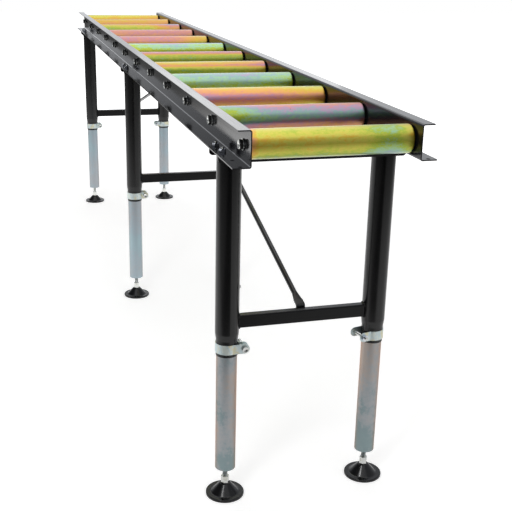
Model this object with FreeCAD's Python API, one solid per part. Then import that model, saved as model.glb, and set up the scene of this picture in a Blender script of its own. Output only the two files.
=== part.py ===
import FreeCAD, Part
import math
import os

# Gravity roller conveyor on three height-adjustable leg pairs.
# Millimetres. X runs along the bed, Y along the rollers, Z up.
# The origin is on the floor under the middle of the bed.

# Bed rails: folded channels with both flanges turned outward
rail_length = 3000.0
bed_height = 900.0
web_height = 75.0
clear_width = 352.0
top_flange = 28.0
bottom_flange = 38.0
rail_sheet = 2.5
rail_bend = 2.5
flange_corner = 2.0

# Rollers
roller_count = 12
roller_end_distance = 53.5
roller_diameter = 60.0
roller_wall = 2.5
roller_curl = 4.0
roller_end_gap = 2.0
roller_below_rail = 8.5

# Bearing caps inside the roller ends
cap_length = 14.0
cap_wall = 3.0
cap_hub_diameter = 36.0
cap_dish = 4.0

# Roller axles and the bolts that hold them
axle_diameter = 20.0
axle_bolt_diameter = 12.0
axle_bolt_length = 25.0
axle_bolt_flats = 18.0
axle_bolt_head = 7.5
axle_washer_diameter = 24.0
axle_washer_thickness = 2.5
tap_spare_depth = 3.0

# Leg pairs
leg_end_distance = 175.0
leg_inset = 1.0
leg_diameter = 54.0
leg_wall = 2.0
leg_below_bar = 78.0
neck_draw = 2.0
neck_wall = 1.4
neck_height = 38.0
neck_taper = 15.0
neck_slot = 4.0
neck_slot_height = 30.0

# Folded heads that carry the rails on the legs
head_width = 80.0
head_depth = 19.0
head_overhang = 33.0
head_sheet = 3.0
head_bend = 1.5
head_corner = 8.0

# Crossbars between the legs
bar_height = 30.0
bar_depth = 20.0
bar_wall = 2.0
bar_corner = 3.0
bar_centre_height = 438.0

# Bolted joints between the rails and the heads, and the splice holes at the rail ends
bolt_beside_leg = 2.0
flange_hole_line = 21.0
splice_end_distance = 8.0
head_bolt_length = 16.0

# One bolt size for the heads, the braces and the clamps
bolt_diameter = 8.0
bolt_hole = 9.0
bolt_flats = 13.0
bolt_head = 5.3
nut_height = 6.5

# Clamp bands round the leg necks
band_width = 22.5
band_thickness = 1.5
band_above_leg_end = 7.5
ear_offset = 13.0
ear_bend = 2.0
ear_reach = 35.5
clamp_bolt_length = 50.0
near_left_front_ear = 23.5
near_left_back_ear = -10.0
near_right_ear_offset = 18.0
near_right_clamp_turn = 13.0

# Telescopic inner legs
inner_wall = 2.0
inner_length = 450.0
inner_lower_end = 71.0
plug_height = 12.0

# Levelling feet
pad_diameter = 90.0
pad_rim_height = 6.0
pad_rim_round = 2.0
pad_cone_diameter = 66.0
pad_cone_round = 5.0
pad_top_diameter = 25.0
pad_top_round = 1.5
pad_height = 28.0
pad_socket_depth = 14.0
stem_diameter = 10.0
spindle_diameter = 12.0
spindle_length = 92.0
spindle_flats = 17.0
spindle_hex_height = 19.5

# Braces from the end crossbars up to the middle head
brace_diameter = 13.0
brace_wall = 2.0
brace_flat_width = 21.0
brace_flat_thickness = 4.0
brace_flat_length = 22.0
brace_blend_length = 26.0
brace_bend = 3.0
brace_lower_rise = 19.0
brace_upper_drop = 7.0
brace_lower_tab = 32.0
brace_upper_tab = 22.0
brace_bolt_length = 16.0

# Clearances
running_fit = 0.05
slide_fit = 0.1
axle_hole_clearance = 1.0
match_tolerance = 1e-6

# Places worked out from the sizes above
rail_bottom = bed_height - web_height
web_inner = clear_width / 2
web_outer = web_inner + rail_sheet
flange_top = rail_bottom + rail_sheet
flange_line = web_inner + flange_hole_line
axle_height = bed_height - roller_below_rail - roller_diameter / 2
roller_length = clear_width - 2 * roller_end_gap
roller_pitch = (rail_length - 2 * roller_end_distance) / (roller_count - 1)
roller_places = []
for number in range(roller_count):
    roller_places.append((roller_count - 1) * roller_pitch / 2 - number * roller_pitch)
leg_x = rail_length / 2 - leg_end_distance
leg_y = web_inner - leg_inset
leg_lower_end = bar_centre_height - leg_below_bar
leg_rows = [("near", leg_x), ("middle", 0.0), ("far", -leg_x)]
leg_sides = [("left", -1), ("right", 1)]
head_bottom = rail_bottom - head_depth
head_under = rail_bottom - head_sheet
head_length = clear_width + 2 * head_overhang
neck_diameter = leg_diameter - 2 * neck_draw
bore_diameter = neck_diameter - 2 * neck_wall
inner_diameter = bore_diameter - 2 * slide_fit
flange_hole_spacing = leg_diameter + 2 * bolt_beside_leg
band_middle = leg_lower_end + band_above_leg_end + band_width / 2
bolt_offsets = [-flange_hole_spacing / 2, flange_hole_spacing / 2]
plug_bore = spindle_diameter + 2 * running_fit
brace_bolt_upper = head_bottom + (head_depth - head_sheet - head_bend) / 2

os.makedirs("parts", exist_ok=True)

vec = FreeCAD.Vector
along_x = vec(1, 0, 0)
along_y = vec(0, 1, 0)
along_z = vec(0, 0, 1)


# A flat face from corners (u, v, radius), rounded where the radius is above zero.
# place turns the pair u, v into a point in space.
def rounded_face(corners, place):
    count = len(corners)
    starts = []
    ends = []
    middles = []
    for index in range(count):
        u, v, radius = corners[index]
        corner = vec(u, v, 0)
        before = vec(corners[index - 1][0], corners[index - 1][1], 0)
        after = vec(corners[(index + 1) % count][0], corners[(index + 1) % count][1], 0)
        back = (before - corner).normalize()
        ahead = (after - corner).normalize()
        half_angle = back.getAngle(ahead) / 2
        cut = radius / math.tan(half_angle)
        bisector = (back + ahead).normalize()
        starts.append(corner + back * cut)
        ends.append(corner + ahead * cut)
        middles.append(corner + bisector * (radius / math.sin(half_angle) - radius))
    edges = []
    for index in range(count):
        follow = (index + 1) % count
        if corners[index][2] > 0:
            three = [starts[index], middles[index], ends[index]]
            three = [place(point.x, point.y) for point in three]
            edges.append(Part.Arc(*three).toShape())
        if ends[index].distanceToPoint(starts[follow]) > match_tolerance:
            line_start = place(ends[index].x, ends[index].y)
            line_end = place(starts[follow].x, starts[follow].y)
            edges.append(Part.makeLine(line_start, line_end))
    return Part.Face(Part.Wire(Part.__sortEdges__(edges)))


def on_xy(u, v):
    return vec(u, v, 0)


def on_xz(u, v):
    return vec(u, 0, v)


def on_yz(u, v):
    return vec(0, u, v)


def square(points):
    return [(u, v, 0.0) for u, v in points]


# A turned piece on the Z axis from its half section (radius, height, corner radius).
def turned(corners):
    return rounded_face(corners, on_xz).revolve(vec(0, 0, 0), along_z, 360)


def rod(diameter, length, start, direction):
    return Part.makeCylinder(diameter / 2, length, start, direction)


# A hexagonal prism standing on the floor plane, two flats facing along X.
def hexagon(flats, height):
    corner_radius = flats / math.sqrt(3)
    points = []
    for step in range(6):
        angle = math.radians(30 + 60 * step)
        points.append((corner_radius * math.cos(angle), corner_radius * math.sin(angle)))
    return rounded_face(square(points), on_xy).extrude(along_z * height)


# A hexagon bolt whose head stands on the floor plane and whose shank points down.
def bolt(diameter, length, flats, head):
    shank = rod(diameter, length, vec(0, 0, -length), along_z)
    return hexagon(flats, head).fuse(shank).removeSplitter()


def nut(diameter, flats, height):
    bore = diameter + 2 * running_fit
    return hexagon(flats, height).cut(rod(bore, height, vec(0, 0, 0), along_z))


# Turns a piece made along +Z so that it points the given way, then moves it.
def placed(shape, direction, position):
    copy = shape.copy()
    copy.Placement = FreeCAD.Placement(position, FreeCAD.Rotation(along_z, direction))
    return copy


def save(name, shapes):
    if len(shapes) == 1:
        shapes[0].exportStep("parts/" + name + ".step")
    else:
        Part.makeCompound(shapes).exportStep("parts/" + name + ".step")


# Folded rail for the +Y side with its axle, leg and splice holes
def make_rail():
    bend_outside = rail_bend + rail_sheet
    section = [
        (web_inner, rail_bottom, bend_outside),
        (web_inner + bottom_flange, rail_bottom, 0.0),
        (web_inner + bottom_flange, flange_top, 0.0),
        (web_outer, flange_top, rail_bend),
        (web_outer, bed_height - rail_sheet, rail_bend),
        (web_inner + top_flange, bed_height - rail_sheet, 0.0),
        (web_inner + top_flange, bed_height, 0.0),
        (web_inner, bed_height, bend_outside),
    ]
    rail = rounded_face(section, on_yz).extrude(along_x * rail_length)
    rail.translate(vec(-rail_length / 2, 0, 0))
    corners = []
    for edge in rail.Edges:
        upright = abs(edge.BoundBox.ZLength - rail_sheet) < match_tolerance
        at_tip = edge.BoundBox.YMin > web_outer + rail_bend
        if upright and at_tip:
            corners.append(edge)
    rail = rail.makeFillet(flange_corner, corners)
    holes = []
    axle_hole = axle_bolt_diameter + axle_hole_clearance
    for x in roller_places:
        holes.append(rod(axle_hole, rail_sheet, vec(x, web_inner, axle_height), along_y))
    flange_places = []
    for row, x in leg_rows:
        for offset in bolt_offsets:
            flange_places.append(x + offset)
    for end in (-1, 1):
        outermost = rail_length / 2 - splice_end_distance
        flange_places.append(end * outermost)
        flange_places.append(end * (outermost - flange_hole_spacing))
    for x in flange_places:
        holes.append(rod(bolt_hole, rail_sheet, vec(x, flange_line, rail_bottom), along_z))
    return rail.cut(holes)


# Roller tube along Z with both ends curled inward over the bearing caps
def make_roller_tube():
    outside = roller_diameter / 2
    inside = outside - roller_wall
    lip = outside - roller_curl
    half = roller_length / 2
    inner_curl = roller_curl - roller_wall
    section = [
        (outside, -half, roller_curl),
        (outside, half, roller_curl),
        (lip, half, 0.0),
        (lip, half - roller_wall, 0.0),
        (inside, half - roller_wall, inner_curl),
        (inside, -half + roller_wall, inner_curl),
        (lip, -half + roller_wall, 0.0),
        (lip, -half, 0.0),
    ]
    return turned(section)


# Pressed bearing cap: a dished disc with a rim in the tube and a hub on the axle.
# Its outer face looks along +Z from the floor plane.
def make_roller_cap():
    rim = roller_diameter / 2 - roller_wall
    bore = axle_diameter / 2 + running_fit
    hub = cap_hub_diameter / 2
    section = [
        (bore, -cap_length, 0.0),
        (hub, -cap_length, 0.0),
        (hub, -cap_dish - cap_wall, 0.0),
        (rim - cap_wall, -cap_wall, 0.0),
        (rim - cap_wall, -cap_length, 0.0),
        (rim, -cap_length, 0.0),
        (rim, 0.0, roller_curl - roller_wall),
        (rim - cap_wall, 0.0, 0.0),
        (hub, -cap_dish, 0.0),
        (bore, -cap_dish, 0.0),
    ]
    return turned(section)


# Axle bar with a tapped hole in each end
def make_axle():
    axle = rod(axle_diameter, clear_width, vec(0, -web_inner, 0), along_y)
    tap = axle_bolt_diameter + 2 * running_fit
    depth = axle_bolt_length - axle_washer_thickness - rail_sheet + tap_spare_depth
    axle = axle.cut(rod(tap, depth, vec(0, -web_inner, 0), along_y))
    return axle.cut(rod(tap, depth, vec(0, web_inner - depth, 0), along_y))


# Folded head: an upturned tray that lies under both rails
def make_head():
    half = head_width / 2
    bend_outside = head_bend + head_sheet
    section = [
        (-half, head_bottom, 0.0),
        (-half + head_sheet, head_bottom, 0.0),
        (-half + head_sheet, head_under, head_bend),
        (half - head_sheet, head_under, head_bend),
        (half - head_sheet, head_bottom, 0.0),
        (half, head_bottom, 0.0),
        (half, rail_bottom, bend_outside),
        (-half, rail_bottom, bend_outside),
    ]
    head = rounded_face(section, on_xz).extrude(along_y * head_length)
    head.translate(vec(0, -head_length / 2, 0))
    corners = []
    for edge in head.Edges:
        across = abs(edge.BoundBox.XLength - head_sheet) < match_tolerance
        if across and edge.BoundBox.ZMax < head_bottom + match_tolerance:
            corners.append(edge)
    head = head.makeFillet(head_corner, corners)
    holes = []
    for side in (-1, 1):
        for offset in bolt_offsets:
            start = vec(offset, side * flange_line, head_under)
            holes.append(rod(bolt_hole, head_sheet, start, along_z))
    return head.cut(holes)


# Leg tube with its lower end drawn in to a neck, and a slot that lets the neck close
def make_leg_tube(side):
    outside = leg_diameter / 2
    inside = outside - leg_wall
    neck = neck_diameter / 2
    bore = bore_diameter / 2
    neck_top = leg_lower_end + neck_height
    taper_top = neck_top + neck_taper
    soft = neck_taper
    section = [
        (bore, leg_lower_end, 0.0),
        (neck, leg_lower_end, 0.0),
        (neck, neck_top, soft),
        (outside, taper_top, soft),
        (outside, head_under, 0.0),
        (inside, head_under, 0.0),
        (inside, taper_top, 0.0),
        (bore, neck_top, 0.0),
    ]
    tube = turned(section)
    slot = Part.makeBox(neck_slot, outside, neck_slot_height, vec(-neck_slot / 2, 0, leg_lower_end))
    if side > 0:
        slot.rotate(vec(0, 0, 0), along_z, 180)
    return tube.cut(slot)


# Rectangular tube crossbar, its ends shaped to the round legs
def make_crossbar():
    def outline(height, depth, corner):
        return [
            (-depth / 2, bar_centre_height - height / 2, corner),
            (depth / 2, bar_centre_height - height / 2, corner),
            (depth / 2, bar_centre_height + height / 2, corner),
            (-depth / 2, bar_centre_height + height / 2, corner),
        ]
    inner_height = bar_height - 2 * bar_wall
    inner_depth = bar_depth - 2 * bar_wall
    outer = rounded_face(outline(bar_height, bar_depth, bar_corner), on_xz)
    inner = rounded_face(outline(inner_height, inner_depth, bar_corner - bar_wall), on_xz)
    bar = outer.extrude(along_y * 2 * leg_y).cut(inner.extrude(along_y * 2 * leg_y))
    bar.translate(vec(0, -leg_y, 0))
    for side in (-1, 1):
        start = vec(0, side * leg_y, bar_centre_height - bar_height)
        bar = bar.cut(rod(leg_diameter, 2 * bar_height, start, along_z))
    return bar


# The +X half of a clamp band round the neck of a leg, its end bent out along +Y into an ear.
# offset is the distance from the middle of the leg to the inner face of the ear, negative beyond it.
def band_half(offset):
    neck = neck_diameter / 2
    low = -band_width / 2
    ear_end = ear_reach + band_width / 2
    bend_x = offset + band_thickness + ear_bend
    bend_y = math.sqrt((neck + band_thickness + ear_bend) ** 2 - bend_x ** 2)
    bend_centre = vec(bend_x, bend_y, low)
    to_leg = vec(-bend_x, -bend_y, 0).normalize()
    to_ear = along_x * -1
    halfway = (to_leg + to_ear).normalize()
    edges = []
    ring_ends = []
    ear_tips = []
    for ring_radius, bend_radius in [
        (neck, ear_bend + band_thickness),
        (neck + band_thickness, ear_bend),
    ]:
        ring_end = vec(0, -ring_radius, low)
        bend_start = bend_centre + to_leg * bend_radius
        bend_middle = bend_centre + halfway * bend_radius
        bend_stop = bend_centre + to_ear * bend_radius
        ear_tip = vec(bend_stop.x, ear_end, low)
        edges.append(Part.Arc(ring_end, vec(ring_radius, 0, low), bend_start).toShape())
        edges.append(Part.Arc(bend_start, bend_middle, bend_stop).toShape())
        edges.append(Part.makeLine(bend_stop, ear_tip))
        ring_ends.append(ring_end)
        ear_tips.append(ear_tip)
    edges.append(Part.makeLine(*ring_ends))
    edges.append(Part.makeLine(*ear_tips))
    return Part.Face(Part.Wire(Part.__sortEdges__(edges))).extrude(along_z * band_width)


# Clamp band with both ears rounded and drilled for the bolt
def make_band(front, back):
    low = -band_width / 2
    ear_end = ear_reach + band_width / 2
    back_half = band_half(back).mirror(vec(0, 0, 0), along_x)
    band = band_half(front).fuse(back_half).removeSplitter()
    side_view = [
        (-ear_end, low, 0.0),
        (ear_end, low, band_width / 2),
        (ear_end, -low, band_width / 2),
        (-ear_end, -low, 0.0),
    ]
    rounded_ends = rounded_face(side_view, on_yz).extrude(along_x * 2 * ear_end)
    band = band.common(rounded_ends.translated(along_x * -ear_end))
    return band.cut(rod(bolt_hole, 2 * ear_end, vec(-ear_end, ear_reach, 0), along_x))


# A clamp's band, bolt and nut, turned about the leg and moved to it
def make_clamp(turn, front, back, position):
    head_seat = vec(front + band_thickness, ear_reach, 0)
    nut_seat = vec(-back - band_thickness, ear_reach, 0)
    pieces = [
        make_band(front, back),
        placed(bolt(bolt_diameter, clamp_bolt_length, bolt_flats, bolt_head), along_x, head_seat),
        placed(nut(bolt_diameter, bolt_flats, nut_height), along_x * -1, nut_seat),
    ]
    for piece in pieces:
        piece.rotate(vec(0, 0, 0), along_z, turn)
        piece.translate(position)
    return pieces


# Inner leg tube and the threaded plug in its foot
def make_inner_leg():
    height = vec(0, 0, inner_lower_end)
    hollow = inner_diameter - 2 * inner_wall
    tube = rod(inner_diameter, inner_length, height, along_z)
    tube = tube.cut(rod(hollow, inner_length, height, along_z))
    plug = rod(hollow, plug_height, height, along_z)
    plug = plug.cut(rod(plug_bore, plug_height, height, along_z))
    return [tube, plug]


# Cone-shaped foot pad with a socket for the spindle
def make_pad():
    socket = stem_diameter / 2 + running_fit
    cone_foot = pad_cone_diameter / 2
    section = [
        (0.0, 0.0, 0.0),
        (pad_diameter / 2, 0.0, 0.0),
        (pad_diameter / 2, pad_rim_height, pad_rim_round),
        (cone_foot, pad_rim_height, pad_cone_round),
        (pad_top_diameter / 2, pad_height, pad_top_round),
        (socket, pad_height, 0.0),
        (socket, pad_height - pad_socket_depth, 0.0),
        (0.0, pad_height - pad_socket_depth, 0.0),
    ]
    return turned(section)


# Spindle: a stem in the pad, a hexagon for the spanner and the threaded length above it
def make_spindle():
    hex_top = pad_height + spindle_hex_height
    stem = rod(stem_diameter, pad_socket_depth, vec(0, 0, pad_height - pad_socket_depth), along_z)
    grip = hexagon(spindle_flats, spindle_hex_height).translated(vec(0, 0, pad_height))
    thread = rod(spindle_diameter, spindle_length, vec(0, 0, hex_top), along_z)
    return stem.fuse([grip, thread]).removeSplitter()


# A section of the brace, four edges each, across the direction that it runs in.
# It is a circle where blend is 0 and a flat strip with round edges where blend is 1.
def brace_section(blend, centre, direction):
    radius = brace_diameter / 2
    upward = direction.cross(along_y)
    if blend == 0:
        reach = radius * math.sqrt(0.5)
        corners = [(reach, reach), (-reach, reach), (-reach, -reach), (reach, -reach)]
        bulges = [(0, radius), (-radius, 0), (0, -radius), (radius, 0)]
    else:
        half = brace_flat_width / 2
        thick = brace_flat_thickness / 2
        straight = half - thick
        corners = [(straight, thick), (-straight, thick), (-straight, -thick), (straight, -thick)]
        bulges = [None, (-half, 0), None, (half, 0)]

    def point(pair):
        return centre + along_y * pair[0] + upward * pair[1]
    edges = []
    for index in range(4):
        first = point(corners[index])
        last = point(corners[(index + 1) % 4])
        if bulges[index] is None:
            edges.append(Part.makeLine(first, last))
        else:
            edges.append(Part.Arc(first, point(bulges[index]), last).toShape())
    return Part.Wire(edges)


# A flattened brace end: the strip goes on along the brace, then turns upright at the bend.
# way is +1 where the tab goes up from the bend and -1 where it goes down.
def brace_tab(bend, run, way, tab_length, face):
    half = brace_flat_thickness / 2
    strip_start = bend + run * brace_flat_length
    lift = run.cross(along_y) * half
    if lift.z < 0:
        lift = lift * -1
    away = 1 if run.x > 0 else -1
    near_x = bend.x
    far_x = bend.x + away * brace_flat_thickness
    slope = run.z / run.x

    def strip_height(x, shift):
        return strip_start.z + shift * lift.z + (x - strip_start.x - shift * lift.x) * slope
    tip = bend.z + way * tab_length
    above = 1 if way > 0 else -1
    corners = [
        (near_x, tip, 0.0),
        (near_x, strip_height(near_x, -above), brace_bend + brace_flat_thickness),
        (strip_start.x - above * lift.x, strip_start.z - above * lift.z, 0.0),
        (strip_start.x + above * lift.x, strip_start.z + above * lift.z, 0.0),
        (far_x, strip_height(far_x, above), brace_bend),
        (far_x, tip, 0.0),
    ]
    tab = rounded_face(corners, on_xz).extrude(along_y * brace_flat_width)
    tab.translate(vec(0, -brace_flat_width / 2, 0))
    tips = []
    for edge in tab.Edges:
        bottom_apart = abs(edge.BoundBox.ZMin - tip)
        top_apart = abs(edge.BoundBox.ZMax - tip)
        at_tip = max(bottom_apart, top_apart) < match_tolerance
        if at_tip and edge.BoundBox.XLength > brace_flat_thickness / 2:
            tips.append(edge)
    tab = tab.makeFillet(brace_flat_width / 3, tips)
    hole_start = vec(near_x, 0, face)
    return tab.cut(rod(bolt_hole, brace_flat_thickness, hole_start, along_x * away))


# Brace for the near half of the bed: lower tab behind the crossbar, upper tab on the head
def make_brace():
    lower_bend = vec(leg_x - bar_depth / 2, 0, bar_centre_height + brace_lower_rise)
    upper_bend = vec(head_width / 2, 0, head_bottom - brace_upper_drop)
    run = (upper_bend - lower_bend).normalize()
    lower_tab = brace_tab(lower_bend, run, -1, brace_lower_tab, bar_centre_height)
    upper_tab = brace_tab(upper_bend, run * -1, 1, brace_upper_tab, brace_bolt_upper)
    tube_start = lower_bend + run * (brace_flat_length + brace_blend_length)
    tube_end = upper_bend - run * (brace_flat_length + brace_blend_length)
    length = tube_start.distanceToPoint(tube_end)
    tube = rod(brace_diameter, length, tube_start, run)
    tube = tube.cut(rod(brace_diameter - 2 * brace_wall, length, tube_start, run))
    lower_flat = brace_section(1, lower_bend + run * brace_flat_length, run)
    lower_round = brace_section(0, tube_start, run)
    upper_flat = brace_section(1, upper_bend - run * brace_flat_length, run)
    upper_round = brace_section(0, tube_end, run)
    lower_blend = Part.makeLoft([lower_flat, lower_round], True)
    upper_blend = Part.makeLoft([upper_round, upper_flat], True)
    return tube.fuse([lower_blend, upper_blend, lower_tab, upper_tab])


# Rails
right_rail = make_rail()
left_rail = right_rail.mirror(vec(0, 0, 0), along_y)
save("left_rail", [left_rail])
save("right_rail", [right_rail])

# Rollers with their caps, one pair of nodes each
roller_tube = make_roller_tube()
roller_cap = make_roller_cap()
cap_face = roller_length / 2 - roller_wall
for number, x in enumerate(roller_places, 1):
    centre = vec(x, 0, axle_height)
    save("roller_tube_%02d" % number, [placed(roller_tube, along_y, centre)])
    right_cap = placed(roller_cap, along_y, centre + along_y * cap_face)
    left_cap = placed(roller_cap, along_y * -1, centre - along_y * cap_face)
    save("roller_caps_%02d" % number, [left_cap, right_cap])

# Axles, their bolts and washers
axle = make_axle()
axle_bolt = bolt(axle_bolt_diameter, axle_bolt_length, axle_bolt_flats, axle_bolt_head)
washer = rod(axle_washer_diameter, axle_washer_thickness, vec(0, 0, 0), along_z)
washer_hole = axle_bolt_diameter + axle_hole_clearance
washer = washer.cut(rod(washer_hole, axle_washer_thickness, vec(0, 0, 0), along_z))
axles = []
axle_bolts = []
axle_washers = []
for x in roller_places:
    axles.append(axle.translated(vec(x, 0, axle_height)))
    for side in (-1, 1):
        seat = vec(x, side * web_outer, axle_height)
        axle_washers.append(placed(washer, along_y * side, seat))
        under_head = seat + along_y * (side * axle_washer_thickness)
        axle_bolts.append(placed(axle_bolt, along_y * side, under_head))
save("roller_axles", axles)
save("axle_bolts", axle_bolts)
save("axle_washers", axle_washers)

# Leg pairs: head, welded frame, clamp bands, inner legs and feet
head = make_head()
crossbar = make_crossbar()
head_bolt = bolt(bolt_diameter, head_bolt_length, bolt_flats, bolt_head)
brace_bolt = bolt(bolt_diameter, brace_bolt_length, bolt_flats, bolt_head)
plain_nut = nut(bolt_diameter, bolt_flats, nut_height)
pad = make_pad()
spindle = make_spindle()
inner_leg = make_inner_leg()
head_bolts = []
clamp_bolts = []
clamp_bands = []
nuts = []
for row, x in leg_rows:
    row_head = head.translated(vec(x, 0, 0))
    if row == "middle":
        for side in (-1, 1):
            start = vec(side * (head_width / 2 - head_sheet), 0, brace_bolt_upper)
            row_head = row_head.cut(rod(bolt_hole, head_sheet, start, along_x * side))
        row_bar = crossbar
    else:
        inward = -1 if x > 0 else 1
        row_bar = crossbar.translated(vec(x, 0, 0))
        start = vec(x + inward * (bar_depth / 2 - bar_wall), 0, bar_centre_height)
        row_bar = row_bar.cut(rod(bolt_hole, bar_wall, start, along_x * inward))
    save(row + "_leg_head", [row_head])
    frame_pieces = [row_bar]
    for side_name, side in leg_sides:
        foot = vec(x, side * leg_y, 0)
        frame_pieces.append(make_leg_tube(side).translated(foot))
        name = row + "_" + side_name
        turn = 0 if side < 0 else 180
        front = back = ear_offset
        if name == "near_left":
            front = near_left_front_ear
            back = near_left_back_ear
        if name == "near_right":
            front = back = near_right_ear_offset
            turn += near_right_clamp_turn
        clamp = make_clamp(turn, front, back, foot + along_z * band_middle)
        band, clamp_bolt, clamp_nut = clamp
        clamp_bands.append(band)
        clamp_bolts.append(clamp_bolt)
        nuts.append(clamp_nut)
        save(name + "_inner_leg", [piece.translated(foot) for piece in inner_leg])
        save(name + "_spindle", [spindle.translated(foot)])
        save(name + "_foot_pad", [pad.translated(foot)])
        for offset in bolt_offsets:
            line = vec(x + offset, side * flange_line, 0)
            head_bolts.append(placed(head_bolt, along_z * -1, line + along_z * head_under))
            nuts.append(plain_nut.translated(line + along_z * flange_top))
    save(row + "_leg_frame", frame_pieces)
save("clamp_bands", clamp_bands)
save("clamp_bolts", clamp_bolts)
save("head_bolts", head_bolts)

# Braces and their bolts
near_brace = make_brace()
far_brace = near_brace.mirror(vec(0, 0, 0), along_x)
save("near_brace", [near_brace])
save("far_brace", [far_brace])
brace_bolts = []
for way in (-1, 1):
    bar_face = way * (leg_x - bar_depth / 2)
    lower = vec(bar_face - way * brace_flat_thickness, 0, bar_centre_height)
    brace_bolts.append(placed(brace_bolt, along_x * -way, lower))
    lower_nut = vec(bar_face + way * bar_wall, 0, bar_centre_height)
    nuts.append(placed(plain_nut, along_x * way, lower_nut))
    upper = vec(way * (head_width / 2 + brace_flat_thickness), 0, brace_bolt_upper)
    brace_bolts.append(placed(brace_bolt, along_x * way, upper))
    upper_nut = vec(way * (head_width / 2 - head_sheet), 0, brace_bolt_upper)
    nuts.append(placed(plain_nut, along_x * -way, upper_nut))
save("brace_bolts", brace_bolts)
save("bolt_nuts", nuts)
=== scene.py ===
import bmesh
import bpy
import math
from mathutils import Matrix, Vector


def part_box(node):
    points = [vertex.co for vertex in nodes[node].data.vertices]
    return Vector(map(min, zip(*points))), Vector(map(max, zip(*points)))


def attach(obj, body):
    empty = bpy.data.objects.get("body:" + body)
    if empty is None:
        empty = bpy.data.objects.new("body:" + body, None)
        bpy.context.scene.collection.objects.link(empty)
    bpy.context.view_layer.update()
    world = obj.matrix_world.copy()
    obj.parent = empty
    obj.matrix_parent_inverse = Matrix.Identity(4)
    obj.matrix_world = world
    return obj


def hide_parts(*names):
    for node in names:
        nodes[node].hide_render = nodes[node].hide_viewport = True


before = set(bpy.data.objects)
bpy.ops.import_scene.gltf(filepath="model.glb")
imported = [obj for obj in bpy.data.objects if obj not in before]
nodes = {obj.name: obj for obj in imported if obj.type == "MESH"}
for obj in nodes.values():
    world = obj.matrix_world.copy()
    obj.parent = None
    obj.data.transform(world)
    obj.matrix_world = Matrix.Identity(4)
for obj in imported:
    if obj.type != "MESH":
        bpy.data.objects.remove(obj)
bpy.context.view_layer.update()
print("frame loaded:", len(nodes), "nodes")

mm = 0.001
rowPlaces = {"near": 1325, "middle": 0, "far": -1325}  # along the bed, in mm
sidePlaces = {"left": -1, "right": 1}
legNames = [row + "_" + side for row in rowPlaces for side in sidePlaces]
rollerNumbers = range(1, 13)


def hexColour(code):  # sRGB hex to linear, with full alpha
    linear = []
    for start in (1, 3, 5):
        part = int(code[start:start + 2], 16) / 255
        linear.append(part / 12.92 if part <= 0.04045 else ((part + 0.055) / 1.055) ** 2.4)
    return (*linear, 1.0)


def grey(value):
    return (value, value, value, 1.0)


def patternScale(size):  # texture scale of a pattern whose real size is in mm
    return 1 / (size * mm)


def addNode(tree, kind, inputs=None, links=None, stops=None, **settings):  # one node, set and linked
    node = tree.nodes.new(kind)
    for name, value in settings.items():
        setattr(node, name, value)
    for key, value in (inputs or {}).items():
        node.inputs[key].default_value = value
    for key, socket in (links or {}).items():
        tree.links.new(socket, node.inputs[key])
    if stops:  # places and colours along a ramp
        elements = node.color_ramp.elements
        while len(elements) > 1:
            elements.remove(elements[-1])
        elements[0].position, elements[0].color = stops[0]
        for place, colour in stops[1:]:
            elements.new(place).color = colour
    return node


def newMaterial(name):
    material = bpy.data.materials.new(name)
    material.use_nodes = True
    material.node_tree.nodes.clear()
    return material, material.node_tree


def closeMaterial(tree, shader):
    addNode(tree, "ShaderNodeOutputMaterial", links={"Surface": shader.outputs[0]})


def dress(names, material):
    for name in names:
        data = nodes[name].data
        data.materials.clear()
        data.materials.append(material)


# Camera, solved from the rail corners, bolt heads and feet in the photograph
view = {"place": (3.1347, -0.6460, 1.2295), "heading": 73.551, "drop": 18.811, "roll": 1.362,
        "focal": 64.246, "sensor": 36, "reach": 60}
cameraData = bpy.data.cameras.new("studioCamera")
cameraData.lens = view["focal"]
cameraData.sensor_width = view["sensor"]
cameraData.clip_end = view["reach"]
camera = bpy.data.objects.new("studioCamera", cameraData)
bpy.context.scene.collection.objects.link(camera)
camera.matrix_world = (
    Matrix.Translation(view["place"])
    @ Matrix.Rotation(math.radians(view["heading"]), 4, "Z")
    @ Matrix.Rotation(math.radians(90 - view["drop"]), 4, "X")
    @ Matrix.Rotation(math.radians(view["roll"]), 4, "Z")
)
bpy.context.scene.camera = camera
print("camera set")

# Stove enamel on folded sheet: near black and glossy, so it mirrors the rollers softly.
# Goods slide along the flanges, which leaves long faint rubs that only dull the gloss.
# A clear coat on the lower fold is a painted highlight, the thin light line the rounded fold catches.
# The inside of the rails gets a darker specular tint, which is painted shade between them.
railEnamel = {
    "colour": "#0F0F11", "shade": "#151518", "cloud": 120, "ior": 1.5,
    "roughness": 0.11, "rubbed": 0.19, "rub": 4, "rubStretch": 0.03, "rubStart": 0.45, "rubFull": 0.75,
    # inside: darker specular tint for the painted shade inside the rails
    "inside": "#2A2A2A", "insideStart": -0.05, "insideFull": -0.15,
    # fold: clear coat for the painted highlight line on the lower fold
    "fold": 1.0, "foldHeight": 850, "foldStart": 0.05, "foldFull": 0.3, "foldRoughness": 0.05,
    "peel": 2.0, "peelDepth": 0.05, "bump": 0.04,
}


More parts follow.
